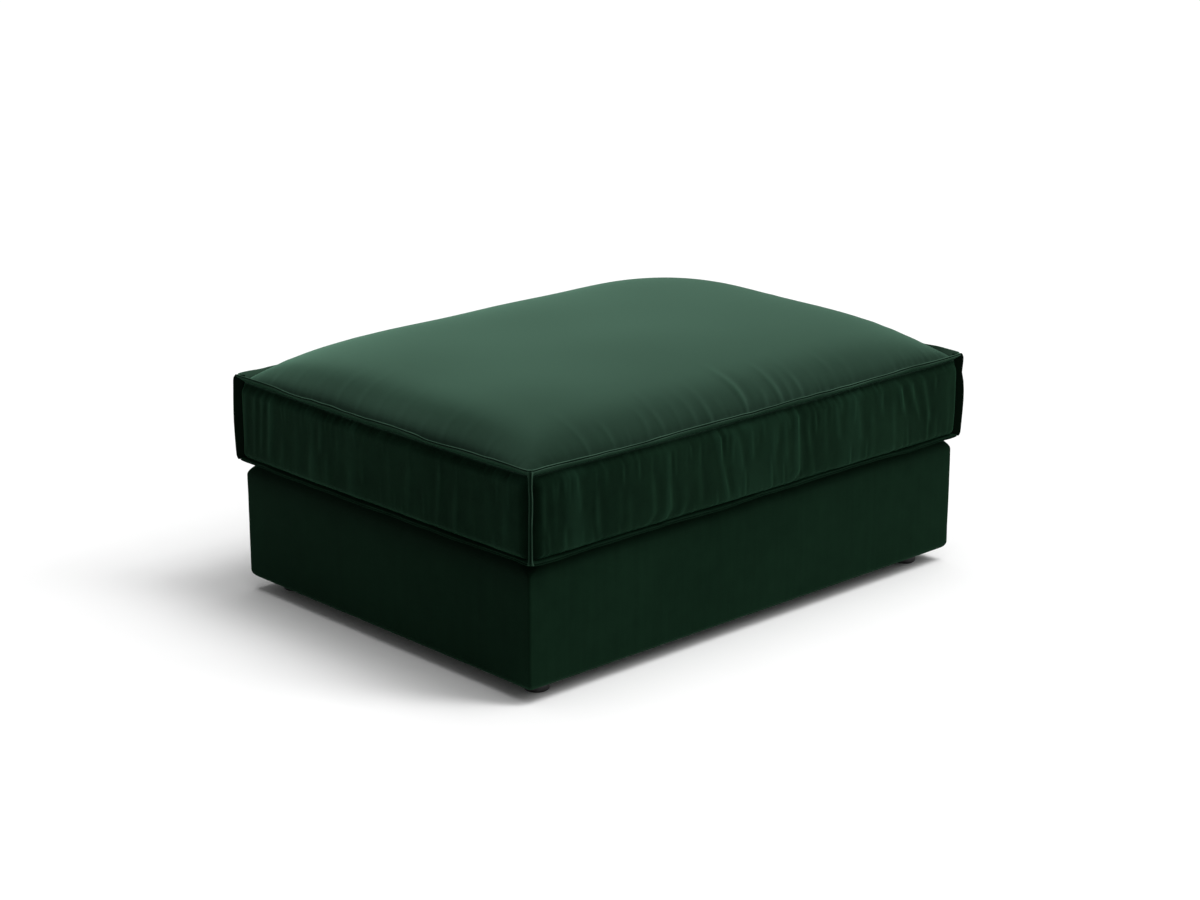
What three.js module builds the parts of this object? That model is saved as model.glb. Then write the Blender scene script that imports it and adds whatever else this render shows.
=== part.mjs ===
// A pouf: a deep, loose box cushion with wide flange seams, on a low upholstered base with round feet.
// Millimetres, +Z up, floor at zero, long side along X. The front is at -Y.

import * as THREE from "three";
import { ParametricGeometry } from "three/addons/geometries/ParametricGeometry.js";

// Space kept between pieces that touch.
const SEAT_GAP = 0.3;

// The base: an upholstered box with soft edges and faces that swell a little.
const BASE = {
  length: 994,
  depth: 728,
  bottom: 22,
  top: 232,
  cornerRadius: 10,
  topRadius: 20,
  bottomRadius: 16,
  swell: 2.5,
};

// The feet, and how far their middles lie in from the base's faces.
const FOOT = { diameter: 40, edgeRadius: 4, insetX: 58, insetY: 50, facets: 24, edgeSteps: 3 };

// The cushion, measured where its panels meet in the seams.
const CUSHION = {
  length: 986,
  depth: 730,
  lowSeam: 236.5,
  highSeam: 376.5,
  seamBand: 3.8,
  bulge: 13,
  drawnIn: 16,
  cornerDrawnIn: 16,
  crown: 75.3,
};

// How square the crown is along X and along Y, and how steeply it leaves the seam.
const CROWN_SHAPE = {
  squareX: 4.5,
  steepX: 0.4,
  squareY: 3.2,
  steepY: 0.49,
};

// The share by which the crown is flatter at a corner, and how quickly that is lost away from it.
const CORNER_FLATNESS = { share: 0.3, reach: 70 };

// The flanges: how far the tip stands out from the seam, how far up, and the two plies' thickness.
const FLANGE = { out: 12, topRise: 4.5, bottomRise: 1, rootThickness: 3.6, thickness: 4.4 };

// The section of a flange from its lower face round its two lips: how far out each point lies as a share
// of the width, and how far off the middle line as a share of half the thickness. The valley is at 0.
const FLANGE_SECTION = [
  [0.35, -0.9],
  [0.86, -1],
  [1, -0.6],
  [0.92, 0],
  [1, 0.6],
  [0.86, 1],
  [0.35, 0.9],
];

// The upright flanges at the corners, in the plane that halves the corner. Their ends follow the slopes
// of the top and bottom flanges.
const CORNER_FLANGE = {
  reach: 17.5,
  thickness: 6,
  softEdge: 2,
  softSteps: 2,
  bow: 5,
  bowSteps: 8,
  topSlope: 3,
  bottomSlope: 1.3,
};

const CLOTH = new THREE.MeshStandardMaterial({ color: 0x22382c, roughness: 0.95, metalness: 0 });
const BLACK_PLASTIC = new THREE.MeshStandardMaterial({ color: 0x0b0b0b, roughness: 0.45, metalness: 0 });

// The four sides, walked round from the front left corner: where each starts, which way it runs,
// which way it faces, and how far its top seam sags, and where along it.
const SIDES = {
  front: { start: [-1, -1], run: [1, 0], face: [0, -1], length: CUSHION.length, sag: 4.5, sagAt: 0.38 },
  right: { start: [1, -1], run: [0, 1], face: [1, 0], length: CUSHION.depth, sag: 6, sagAt: 0.55 },
  back: { start: [1, 1], run: [-1, 0], face: [0, 1], length: CUSHION.length, sag: 4, sagAt: 0.6 },
  left: { start: [-1, 1], run: [0, -1], face: [-1, 0], length: CUSHION.depth, sag: 9, sagAt: 0.5 },
};
const SIDE_NAMES = Object.keys(SIDES);

// Columns of points along each long and short side of the cushion, and how many of them make
// one step of a flange, which has no creases.
const LONG_COLUMNS = 60;
const SHORT_COLUMNS = 44;
const COLUMNS = 2 * (LONG_COLUMNS + SHORT_COLUMNS);
const COLUMNS_PER_FLANGE_STEP = 4;

// Main creases in the boxing. Each row: place along the side from its middle, half width, depth,
// and how far the crease leans along the side from bottom to top.
const LONG_SIDE_CREASES = [
  [-470, 17, 1.6, -6],
  [-423, 18, 1.4, -8],
  [-345, 22, 2.0, -4],
  [-278, 20, 1.6, -4],
  [-235, 18, 2.2, -3],
  [-196, 18, 2.8, -4],
  [-125, 20, 2.0, -6],
  [-77, 18, 2.4, -16],
  [-5, 22, 1.4, -8],
  [64, 17, 2.2, -8],
  [94, 17, 3.0, -8],
  [163, 20, 2.0, -10],
  [206, 20, 2.4, -12],
  [244, 18, 2.2, -10],
  [302, 20, 1.4, -6],
  [362, 18, 2.4, -14],
  [396, 17, 2.6, -12],
  [422, 17, 2.8, -10],
];
const SHORT_SIDE_CREASES = [
  [-334, 17, 1.8, 8],
  [-308, 17, 2.2, 12],
  [-284, 17, 2.8, 16],
  [-219, 20, 1.4, 6],
  [-147, 18, 2.2, 8],
  [-104, 20, 1.8, 6],
  [-40, 22, 1.4, 4],
  [68, 20, 1.8, 8],
  [146, 20, 2.0, 10],
  [186, 18, 3.0, 12],
  [225, 18, 2.4, 10],
  [302, 20, 1.4, 4],
];

// Main puckers in the top panel. Each row: place along the side from its middle, half width, depth,
// how far the pucker leans along the side as it goes in, and how far it reaches in from the seam.
const LONG_SIDE_PUCKERS = [
  [-460, 18, 1.2, 4, 60],
  [-390, 20, 2.0, 2, 120],
  [-335, 20, 1.8, 2, 90],
  [-230, 20, 2.0, 2, 120],
  [-190, 18, 1.6, 2, 90],
  [-128, 20, 2.2, 0, 110],
  [-42, 22, 2.8, 0, 150],
  [-8, 18, 1.8, 0, 100],
  [38, 20, 1.8, 0, 110],
  [88, 18, 2.0, 0, 120],
  [172, 22, 1.8, 0, 110],
  [212, 20, 1.6, 0, 90],
  [305, 22, 1.4, -2, 100],
  [405, 20, 1.2, -3, 80],
];
const SHORT_SIDE_PUCKERS = [
  [-310, 20, 1.2, 4, 70],
  [-258, 21, 1.4, 4, 90],
  [-140, 22, 1.6, 7, 110],
  [-84, 20, 1.6, 8, 120],
  [22, 22, 1.4, 5, 110],
  [80, 20, 1.6, 3, 100],
  [182, 22, 1.8, 0, 100],
  [290, 20, 1.4, -3, 80],
];

const FOLDS = {
  front: { creases: LONG_SIDE_CREASES, puckers: LONG_SIDE_PUCKERS },
  right: { creases: SHORT_SIDE_CREASES, puckers: SHORT_SIDE_PUCKERS },
  back: { creases: LONG_SIDE_CREASES, puckers: LONG_SIDE_PUCKERS },
  left: { creases: SHORT_SIDE_CREASES, puckers: SHORT_SIDE_PUCKERS },
};

// Rings of points on the cushion, as shares: from the underside's middle to its seam,
// up the boxing between the seam bands, and from the top seam in to the top's middle.
const UNDER_RINGS = [0, 0.86, 0.94, 0.985, 1];
const BOXING_RINGS = [0, 0.04, 0.11, 0.3, 0.55, 0.8, 0.9, 0.96, 1];
const TOP_RINGS = [1, 0.991, 0.965, 0.92, 0.85, 0.72, 0.46, 0];

// How far in from the edge the underside starts to curve up to its seam.
const UNDERSIDE_CURVE = 34;

// How quickly the top seam's sag is lost towards the middle: the power of a ring's share.
const SAG_FADE = 6;

// How flat the top seam stays near its corners before it sags.
const SAG_SHAPE = 1.5;

// How far from a corner the puckers in the top reach their full depth.
const PUCKERS_FROM_CORNER = 60;

// 0 at an edge, 1 from a given distance on, with a soft start to the level part.
function rise(distance, reach) {
  const share = THREE.MathUtils.clamp(distance / reach, 0, 1);
  return Math.sin((share * Math.PI) / 2);
}

// 1 on the middle line of a crease, 0 at its half width.
function trough(offset, halfWidth) {
  const share = Math.min(1, Math.abs(offset) / halfWidth);
  return (1 + Math.cos(Math.PI * share)) / 2;
}

// Where a column of points stands: its side, and how far along that side it is.
function columnPlace(column) {
  let left = column % COLUMNS;
  for (const name of SIDE_NAMES) {
    const count = SIDES[name].length === CUSHION.length ? LONG_COLUMNS : SHORT_COLUMNS;
    if (left < count) {
      return { name, side: SIDES[name], share: left / count };
    }
    left -= count;
  }
}

// The plan point of a column on the cushion's seam rectangle, grown outwards by a distance.
function seamPlan(place, grown) {
  const { side, share } = place;
  const halfLength = CUSHION.length / 2 + grown;
  const halfDepth = CUSHION.depth / 2 + grown;
  return {
    x: (side.start[0] + 2 * share * side.run[0]) * halfLength,
    y: (side.start[1] + 2 * share * side.run[1]) * halfDepth,
  };
}

// How far a column stands from the nearer corner of its side.
function distanceAlong(place) {
  return Math.min(place.share, 1 - place.share) * place.side.length;
}

// How far in from its side's seam a column's point lies, at a share of the way from the middle.
function distanceIn(place, share) {
  const across = place.side.length === CUSHION.length ? CUSHION.depth : CUSHION.length;
  return ((1 - share) * across) / 2;
}

// How far the top seam hangs below its corners.
function seamSag(place) {
  const { sag, sagAt } = place.side;
  const share = place.share;
  const bent = share < sagAt ? (share / sagAt) * 0.5 : 0.5 + ((share - sagAt) / (1 - sagAt)) * 0.5;
  return sag * Math.sin(Math.PI * bent) ** SAG_SHAPE;
}

function creaseDepth(place, height) {
  const along = (place.share - 0.5) * place.side.length;
  let depth = 0;
  for (const [at, halfWidth, deep, lean] of FOLDS[place.name].creases) {
    depth += deep * trough(along - at - lean * (height - 0.5), halfWidth);
  }
  return depth * Math.sin(Math.PI * height);
}

function puckerDepth(place, fromSeam) {
  const along = (place.share - 0.5) * place.side.length;
  let depth = 0;
  for (const [at, halfWidth, deep, lean, reach] of FOLDS[place.name].puckers) {
    const inward = Math.min(1, fromSeam / reach);
    const fade = Math.sin(Math.PI * Math.sqrt(inward));
    depth += deep * fade * trough(along - at - lean * inward, halfWidth);
  }
  return depth;
}

function crownHeight(x, y) {
  const { squareX, steepX, squareY, steepY } = CROWN_SHAPE;
  const alongX = 1 - Math.min(1, Math.abs(x) / (CUSHION.length / 2)) ** squareX;
  const alongY = 1 - Math.min(1, Math.abs(y) / (CUSHION.depth / 2)) ** squareY;
  const fromCorner = CUSHION.length / 2 - Math.abs(x) + CUSHION.depth / 2 - Math.abs(y);
  const flatter = CORNER_FLATNESS.share * Math.exp(-fromCorner / CORNER_FLATNESS.reach);
  return CUSHION.crown * alongX ** steepX * alongY ** steepY * (1 - flatter);
}

function undersidePoint(place, share) {
  const edge = seamPlan(place, 0);
  const flat = BASE.top + SEAT_GAP;
  const seam = CUSHION.lowSeam - CUSHION.seamBand / 2;
  const curve = THREE.MathUtils.clamp(1 - distanceIn(place, share) / UNDERSIDE_CURVE, 0, 1);
  const z = flat + (seam - flat) * (1 - Math.sqrt(1 - curve * curve));
  return [edge.x * share, edge.y * share, z];
}

function boxingPoint(place, height) {
  const low = CUSHION.lowSeam + CUSHION.seamBand / 2;
  const high = CUSHION.highSeam - CUSHION.seamBand / 2 - seamSag(place);
  const tall = high - low;
  const z = low + tall * height;
  const edge = seamPlan(place, 0);
  const fromSeam = Math.min(height, 1 - height) * tall;
  const full = CUSHION.bulge * rise(fromSeam, CUSHION.drawnIn) - creaseDepth(place, height);
  const out = full * rise(distanceAlong(place), CUSHION.cornerDrawnIn);
  return [edge.x + out * place.side.face[0], edge.y + out * place.side.face[1], z];
}

function topPoint(place, share) {
  const edge = seamPlan(place, 0);
  const x = edge.x * share;
  const y = edge.y * share;
  const seam = CUSHION.highSeam + CUSHION.seamBand / 2 - seamSag(place) * share ** SAG_FADE;
  const level = rise(distanceAlong(place), PUCKERS_FROM_CORNER);
  const pucker = puckerDepth(place, distanceIn(place, share)) * level;
  return [x, y, seam + crownHeight(x, y) - pucker];
}

// A closed surface from rings of points: one function for each ring, which places a column's point.
function skin(rings, columns) {
  const last = rings.length - 1;
  return new ParametricGeometry(
    (u, v, target) => {
      const ring = Math.round(v * last);
      const column = Math.round(u * columns) % columns;
      target.set(...rings[ring](column));
    },
    columns,
    last,
  );
}

function cushionGeometry() {
  const rings = [
    ...UNDER_RINGS.map((share) => (column) => undersidePoint(columnPlace(column), share)),
    ...BOXING_RINGS.map((share) => (column) => boxingPoint(columnPlace(column), share)),
    ...TOP_RINGS.map((share) => (column) => topPoint(columnPlace(column), share)),
  ];
  return skin(rings, COLUMNS);
}

// Section of a seam flange, as distances out from the seam and up from it. It leaves the seam
// between the panels, thickens into two plies, and ends in two rounded lips with a valley between.
function flangeSection(tipRise) {
  const width = Math.hypot(FLANGE.out, tipRise);
  const along = [FLANGE.out / width, tipRise / width];
  const across = [-along[1], along[0]];
  const points = FLANGE_SECTION.map(([reach, side]) => [
    SEAT_GAP + reach * FLANGE.out + ((side * FLANGE.thickness) / 2) * across[0],
    reach * tipRise + ((side * FLANGE.thickness) / 2) * across[1],
  ]);
  const root = FLANGE.rootThickness / 2;
  return [[SEAT_GAP, -root], ...points, [SEAT_GAP, root]];
}

// A flange that runs all round the cushion. Its section's first point comes again last, which closes it.
function loopFlangeGeometry(seam, tipRise, sags) {
  const section = flangeSection(tipRise);
  const ring = ([out, up]) => (step) => {
    const place = columnPlace(step * COLUMNS_PER_FLANGE_STEP);
    const plan = seamPlan(place, out);
    const sag = sags ? seamSag(place) : 0;
    return [plan.x, plan.y, seam - sag + up];
  };
  return skin([...section, section[0]].map(ring), COLUMNS / COLUMNS_PER_FLANGE_STEP);
}

// The outline of an upright corner flange, out from the corner and up, with a slightly bowed edge.
// The soft edge is added all round it.
function cornerFlangeShape() {
  const clear = FLANGE.thickness / 2 + SEAT_GAP + CORNER_FLANGE.softEdge;
  const inner = SEAT_GAP + CORNER_FLANGE.softEdge;
  const outer = CORNER_FLANGE.reach - CORNER_FLANGE.softEdge;
  const bottom = CUSHION.lowSeam + clear;
  const top = CUSHION.highSeam - clear;
  const outerBottom = bottom + CORNER_FLANGE.bottomSlope;
  const outerTop = top + CORNER_FLANGE.topSlope;
  const shape = new THREE.Shape();
  shape.moveTo(inner, bottom);
  shape.lineTo(outer, outerBottom);
  shape.quadraticCurveTo(outer + CORNER_FLANGE.bow, (outerBottom + outerTop) / 2, outer, outerTop);
  shape.lineTo(inner, top);
  shape.closePath();
  return shape;
}

function cornerFlangeGeometry() {
  const flat = CORNER_FLANGE.thickness - 2 * CORNER_FLANGE.softEdge;
  const geometry = new THREE.ExtrudeGeometry(cornerFlangeShape(), {
    depth: flat,
    curveSegments: CORNER_FLANGE.bowSteps,
    bevelEnabled: true,
    bevelThickness: CORNER_FLANGE.softEdge,
    bevelSize: CORNER_FLANGE.softEdge,
    bevelSegments: CORNER_FLANGE.softSteps,
  });
  geometry.translate(0, 0, -flat / 2);
  geometry.rotateX(Math.PI / 2);
  return geometry;
}

// The corners of the base in plan, walked round from the front left, with the angle at which
// each one's arc starts.
const BASE_CORNERS = [
  { x: -1, y: -1, startAngle: Math.PI },
  { x: 1, y: -1, startAngle: 1.5 * Math.PI },
  { x: 1, y: 1, startAngle: 0 },
  { x: -1, y: 1, startAngle: 0.5 * Math.PI },
];

// Columns round the base: at each corner an arc, and along each side a few steps for its swell.
const BASE_ARC_STEPS = 5;
const BASE_SIDE_STEPS = 9;
const BASE_COLUMNS = BASE_CORNERS.length * (BASE_ARC_STEPS + BASE_SIDE_STEPS);

// Steps of the base's rounded top and bottom edges, and of its faces between them.
const BASE_EDGE_STEPS = 4;
const BASE_FACE_STEPS = 4;

// The plan point where a column meets a level of the base that is drawn in by a distance.
function basePlan(column, drawnIn, swell) {
  const perSide = BASE_ARC_STEPS + BASE_SIDE_STEPS;
  const index = Math.floor(column / perSide);
  const step = column % perSide;
  const corner = BASE_CORNERS[index];
  const radius = Math.max(BASE.cornerRadius - drawnIn, 1);
  const halfX = BASE.length / 2 - drawnIn - radius;
  const halfY = BASE.depth / 2 - drawnIn - radius;
  if (step <= BASE_ARC_STEPS) {
    const angle = corner.startAngle + (step / BASE_ARC_STEPS) * (Math.PI / 2);
    return [corner.x * halfX + radius * Math.cos(angle), corner.y * halfY + radius * Math.sin(angle)];
  }
  const next = BASE_CORNERS[(index + 1) % BASE_CORNERS.length];
  const share = (step - BASE_ARC_STEPS) / BASE_SIDE_STEPS;
  const facing = corner.startAngle + Math.PI / 2;
  const out = radius + swell * Math.sin(Math.PI * share);
  const x = THREE.MathUtils.lerp(corner.x, next.x, share) * halfX;
  const y = THREE.MathUtils.lerp(corner.y, next.y, share) * halfY;
  return [x + out * Math.cos(facing), y + out * Math.sin(facing)];
}

// Levels of the base: how far each is drawn in, its height, and how much of the swell it has.
function baseLevels() {
  const levels = [];
  for (let step = 0; step <= BASE_EDGE_STEPS; step += 1) {
    const angle = (step / BASE_EDGE_STEPS) * (Math.PI / 2);
    levels.push({
      drawnIn: BASE.bottomRadius * (1 - Math.sin(angle)),
      z: BASE.bottom + BASE.bottomRadius * (1 - Math.cos(angle)),
      swell: 0,
    });
  }
  const low = BASE.bottom + BASE.bottomRadius;
  const high = BASE.top - BASE.topRadius;
  for (let step = 1; step < BASE_FACE_STEPS; step += 1) {
    const share = step / BASE_FACE_STEPS;
    levels.push({ drawnIn: 0, z: low + (high - low) * share, swell: BASE.swell * Math.sin(Math.PI * share) });
  }
  for (let step = 0; step <= BASE_EDGE_STEPS; step += 1) {
    const angle = (step / BASE_EDGE_STEPS) * (Math.PI / 2);
    levels.push({
      drawnIn: BASE.topRadius * (1 - Math.cos(angle)),
      z: BASE.top - BASE.topRadius * (1 - Math.sin(angle)),
      swell: 0,
    });
  }
  return levels;
}

function baseGeometry() {
  const ring = ({ drawnIn, z, swell }) => (column) => [...basePlan(column, drawnIn, swell), z];
  const rings = baseLevels().map(ring);
  const underMiddle = () => [0, 0, BASE.bottom];
  const topMiddle = () => [0, 0, BASE.top];
  return skin([underMiddle, ...rings, topMiddle], BASE_COLUMNS);
}

function footGeometry() {
  const radius = FOOT.diameter / 2;
  const flat = radius - FOOT.edgeRadius;
  const top = BASE.bottom - SEAT_GAP;
  const profile = new THREE.Path();
  profile.moveTo(0, 0);
  profile.lineTo(flat, 0);
  profile.absarc(flat, FOOT.edgeRadius, FOOT.edgeRadius, -Math.PI / 2, 0, false);
  profile.lineTo(radius, top);
  profile.lineTo(0, top);
  const geometry = new THREE.LatheGeometry(profile.getPoints(FOOT.edgeSteps), FOOT.facets);
  geometry.rotateX(Math.PI / 2);
  return geometry;
}

const pouf = new THREE.Group();

function addMesh(name, geometry, material) {
  const mesh = new THREE.Mesh(geometry, material);
  mesh.name = name;
  pouf.add(mesh);
  return mesh;
}

addMesh("base", baseGeometry(), CLOTH);
addMesh("cushion", cushionGeometry(), CLOTH);
addMesh("top_flange", loopFlangeGeometry(CUSHION.highSeam, FLANGE.topRise, true), CLOTH);
addMesh("bottom_flange", loopFlangeGeometry(CUSHION.lowSeam, FLANGE.bottomRise, false), CLOTH);

// Corners, with the angle at which each one's upright flange points outwards.
const CORNERS = {
  front_left: { x: -1, y: -1, facing: -0.75 * Math.PI },
  front_right: { x: 1, y: -1, facing: -0.25 * Math.PI },
  back_right: { x: 1, y: 1, facing: 0.25 * Math.PI },
  back_left: { x: -1, y: 1, facing: 0.75 * Math.PI },
};

for (const [name, corner] of Object.entries(CORNERS)) {
  const flange = addMesh("corner_flange_" + name, cornerFlangeGeometry(), CLOTH);
  flange.position.set((corner.x * CUSHION.length) / 2, (corner.y * CUSHION.depth) / 2, 0);
  flange.rotation.z = corner.facing;
  const foot = addMesh("foot_" + name, footGeometry(), BLACK_PLASTIC);
  foot.position.set(
    corner.x * (BASE.length / 2 - FOOT.insetX),
    corner.y * (BASE.depth / 2 - FOOT.insetY),
    0,
  );
}

export default pouf;
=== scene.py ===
"""The looks of the pouf: a velvet box cushion with wide flange seams, lying on an upholstered base."""

import math

import bmesh
import bpy
import numpy as np
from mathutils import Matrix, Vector


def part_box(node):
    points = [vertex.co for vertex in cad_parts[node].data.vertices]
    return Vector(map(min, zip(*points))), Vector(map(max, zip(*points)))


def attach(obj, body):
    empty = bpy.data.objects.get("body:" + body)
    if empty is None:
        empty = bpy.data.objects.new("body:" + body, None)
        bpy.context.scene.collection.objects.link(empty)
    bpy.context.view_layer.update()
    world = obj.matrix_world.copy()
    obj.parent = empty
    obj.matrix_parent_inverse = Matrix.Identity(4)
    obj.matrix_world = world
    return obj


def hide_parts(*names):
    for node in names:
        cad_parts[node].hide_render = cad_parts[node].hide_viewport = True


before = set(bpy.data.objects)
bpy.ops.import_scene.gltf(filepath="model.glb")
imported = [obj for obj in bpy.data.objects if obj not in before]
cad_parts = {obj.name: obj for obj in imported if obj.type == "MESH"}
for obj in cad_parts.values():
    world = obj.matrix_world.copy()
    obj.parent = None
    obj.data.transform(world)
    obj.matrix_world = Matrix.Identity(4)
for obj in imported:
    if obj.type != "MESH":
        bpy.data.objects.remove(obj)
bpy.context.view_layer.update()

MM = 0.001

# The cushion, measured where its panels meet in the seams.
HALF_LENGTH = 493 * MM
HALF_DEPTH = 365 * MM
LOW_SEAM = 236.5 * MM
HIGH_SEAM = 372 * MM
CROWN = 81.5 * MM
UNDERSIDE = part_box("base")[1][2] + 0.3 * MM
UNDERSIDE_CURVE = 34 * MM
UNDERSIDE_STEPS = 6

# The crown's form along and across: how square its outline is and how steeply it leaves the seam, and
# by how much it is flatter near a corner.
CROWN_SQUARENESS = (5.5, 3.2)
CROWN_STEEPNESS = (0.47, 0.49)
CORNER_FLATNESS = 0.2
CORNER_FLAT_REACH = 70 * MM

# The filling's lumps: their height and spacing.
LUMP_HEIGHT = 1.2 * MM
LUMP_SPACING = 260 * MM

# The boxing's bulge in the middle of a side and near a corner, and how far in from its seams it starts.
BULGE = 15 * MM
CORNER_BULGE = 13 * MM
BULGE_CHANGE = 140 * MM
DRAWN_IN = 15 * MM
LOW_DRAWN_IN = 21 * MM
CORNER_DRAWN_IN = 13 * MM

# Cells of the cushion's cloth: along, across, and up its boxing. They are made on a box that reaches from
# -1 to 1 each way, and a point lies on a face of it when its place is past this value.
CELLS = (392, 290, 50)
ON_FACE = 1 - 1e-6

# The four sides, walked round from the front left corner, to the right for someone who faces them.
# Each row: start corner, direction of the walk, outward direction, half length, how far the top seam
# sags, where along the side it sags most, and which side of a fold its trough lies on.
SIDES = {
    "front": ((-1, -1), (1, 0), (0, -1), HALF_LENGTH, 2.5 * MM, 0.36, 1),
    "right": ((1, -1), (0, 1), (1, 0), HALF_DEPTH, 6.0 * MM, 0.55, 1),
    "back": ((1, 1), (-1, 0), (0, 1), HALF_LENGTH, 4.0 * MM, 0.60, -1),
    "left": ((-1, 1), (0, -1), (-1, 0), HALF_DEPTH, 2.5 * MM, 0.50, -1),
}

# Folds in the boxing, in millimetres. Each row: place along the side from its middle, half width of the
# ridge, its height, how far its lower end lies to the right of its upper end, how far its foot sweeps to
# the left, and the shares of the boxing's height between which it runs.
FRONT_FOLDS = [
    (-481, 5, 0.8, 4, 0, 0.35, 0.95),
    (-459, 6, 1.0, 6, 0, 0.25, 0.97),
    (-436, 5, 0.6, 4, 0, 0.70, 0.98),
    (-409, 6, 0.8, 8, 0, 0.45, 0.97),
    (-371, 7, 1.0, 6, 0, 0.02, 0.70),
    (-324, 7, 0.6, 4, 2, 0.15, 0.70),
    (-304, 7, 0.8, 4, 3, 0.06, 0.60),
    (-253, 8, 1.2, 6, 24, 0.00, 0.68),
    (-218, 8, 1.7, 5, 20, 0.00, 0.97),
    (-182, 8, 0.8, 0, 16, 0.00, 0.48),
    (-150, 7, 1.1, 6, 4, 0.10, 0.90),
    (-97, 7, 1.4, 31, 2, 0.10, 0.99),
    (-57, 7, 1.2, 32, 0, 0.40, 0.99),
    (-29, 8, 0.7, 8, 0, 0.50, 0.97),
    (22, 8, 0.8, 6, 2, 0.22, 0.92),
    (50, 7, 0.8, 8, 2, 0.32, 0.92),
    (78, 8, 1.8, 8, 22, 0.00, 0.99),
    (109, 7, 1.0, 26, 3, 0.04, 0.80),
    (145, 6, 0.6, 14, 0, 0.35, 0.90),
    (180, 7, 1.1, 22, 0, 0.45, 0.99),
    (228, 7, 1.3, 20, 2, 0.32, 0.99),
    (262, 8, 0.8, 6, 5, 0.03, 0.74),
    (288, 6, 0.9, 24, 0, 0.60, 0.97),
    (318, 8, 0.5, 8, 2, 0.20, 0.80),
    (346, 6, 1.2, 38, 0, 0.50, 0.99),
    (380, 6, 1.6, 50, 0, 0.38, 0.99),
    (406, 6, 1.5, 33, 3, 0.30, 0.99),
    (428, 7, 0.8, 4, 4, 0.00, 0.48),
    (460, 9, 0.4, 4, 0, 0.15, 0.85),
]
LEFT_FOLDS = [
    (-347, 6, 0.6, -6, 0, 0.15, 0.96),
    (-319, 6, 0.9, -10, 0, 0.12, 0.98),
    (-298, 6, 1.0, -14, 0, 0.20, 0.99),
    (-274, 7, 1.3, -16, 0, 0.15, 0.99),
    (-239, 8, 0.4, -6, 0, 0.10, 0.55),
    (-200, 9, 0.3, -6, 0, 0.20, 0.90),
    (-157, 8, 0.7, -8, 0, 0.08, 0.92),
    (-136, 8, 0.6, -6, 0, 0.45, 0.98),
    (-117, 8, 0.5, -6, 0, 0.06, 0.62),
    (-91, 8, 0.4, -4, 0, 0.20, 0.90),
    (-56, 8, 0.4, -4, 0, 0.02, 0.52),
    (-24, 8, 0.4, -4, 0, 0.25, 0.85),
    (45, 9, 0.5, -6, -2, 0.15, 0.85),
    (92, 9, 0.5, -10, -2, 0.10, 0.80),
    (166, 8, 0.9, -10, -3, 0.12, 0.88),
    (206, 8, 1.0, -12, -4, 0.03, 0.72),
    (243, 8, 0.3, -6, 0, 0.20, 0.85),
    (283, 9, 0.3, -4, 0, 0.15, 0.85),
    (322, 7, 0.4, -4, 0, 0.20, 0.92),
]

# Puckers in the top panel along a seam, in millimetres. Each row: place along the side from its middle,
# half width, height, how far it leans to the right on its way in, and how far in it reaches.
FRONT_PUCKERS = [
    (-475, 4.3, 0.4, 4, 33),
    (-447, 4.3, 0.4, 4, 39),
    (-421, 4.3, 0.4, 4, 50),
    (-373, 5.8, 0.9, 2, 130),
    (-346, 5.0, 0.2, 2, 80),
    (-321, 5.0, 0.5, 2, 85),
    (-284, 5.8, 0.1, 2, 90),
    (-246, 5.8, 0.5, 2, 100),
    (-213, 5.8, 0.7, 2, 120),
    (-173, 5.0, 0.3, 2, 90),
    (-143, 5.8, 0.5, 0, 100),
    (-110, 5.8, 0.9, 0, 105),
    (-78, 5.0, 0.2, 0, 75),
    (-25, 6.5, 1.5, 0, 140),
    (18, 5.8, 0.6, 0, 90),
    (54, 5.8, 1.0, 0, 115),
    (80, 5.0, 0.5, 0, 80),
    (103, 5.8, 0.7, 0, 125),
    (145, 5.8, 0.2, 0, 90),
    (188, 5.8, 0.4, 0, 115),
    (228, 5.8, 0.6, 0, 95),
    (281, 6.5, 0.2, -2, 90),
    (330, 5.8, 0.2, -2, 80),
    (370, 5.8, 0.4, -2, 70),
    (430, 5.8, 0.4, -4, 60),
]
LEFT_PUCKERS = [
    (-330, 5.8, 0.18, 4, 36),
    (-286, 5.8, 0.3, 4, 80),
    (-232, 6.5, 0.18, 4, 90),
    (-168, 6.5, 0.24, 6, 110),
    (-112, 6.5, 0.3, 8, 120),
    (-58, 6.5, 0.24, 8, 130),
    (-10, 6.5, 0.24, 6, 110),
    (52, 6.5, 0.24, 4, 110),
    (108, 6.5, 0.24, 2, 90),
    (160, 5.8, 0.3, 0, 100),
    (204, 5.8, 0.36, 0, 90),
    (262, 5.8, 0.24, -2, 80),
    (318, 5.0, 0.18, -4, 42),
    (342, 4.3, 0.18, -4, 33),
]

# How far a fold of the boxing and a pucker of the top panel sway from a straight line, in millimetres.
FOLD_SWAY = 1.2
PUCKER_SWAY = 2.5

# The trough beside a fold's ridge, as shares of the ridge's width and height.
TROUGH_OFF = 2.0
TROUGH_WIDTH = 1.5
TROUGH_DEPTH = 0.5

# The tallest of the fine folds between the main ones, in millimetres, and on the left side.
FINE_FOLDS = 1.1
LEFT_FINE_FOLDS = 0.35

# How far from a seam and from a corner the boxing's folds reach their full height.
FOLDS_FROM_SEAM = 12 * MM
FOLDS_FROM_CORNER = 10 * MM

# The stitches' gathers: how high they are on the top panel and on the boxing under the top seam and over
# the bottom one, and how fast they fade.
TOP_GATHERS = 0.5 * MM
HIGH_GATHERS = 1.1 * MM
LOW_GATHERS = 0.6 * MM
GATHERS_FADE = 12 * MM

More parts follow.
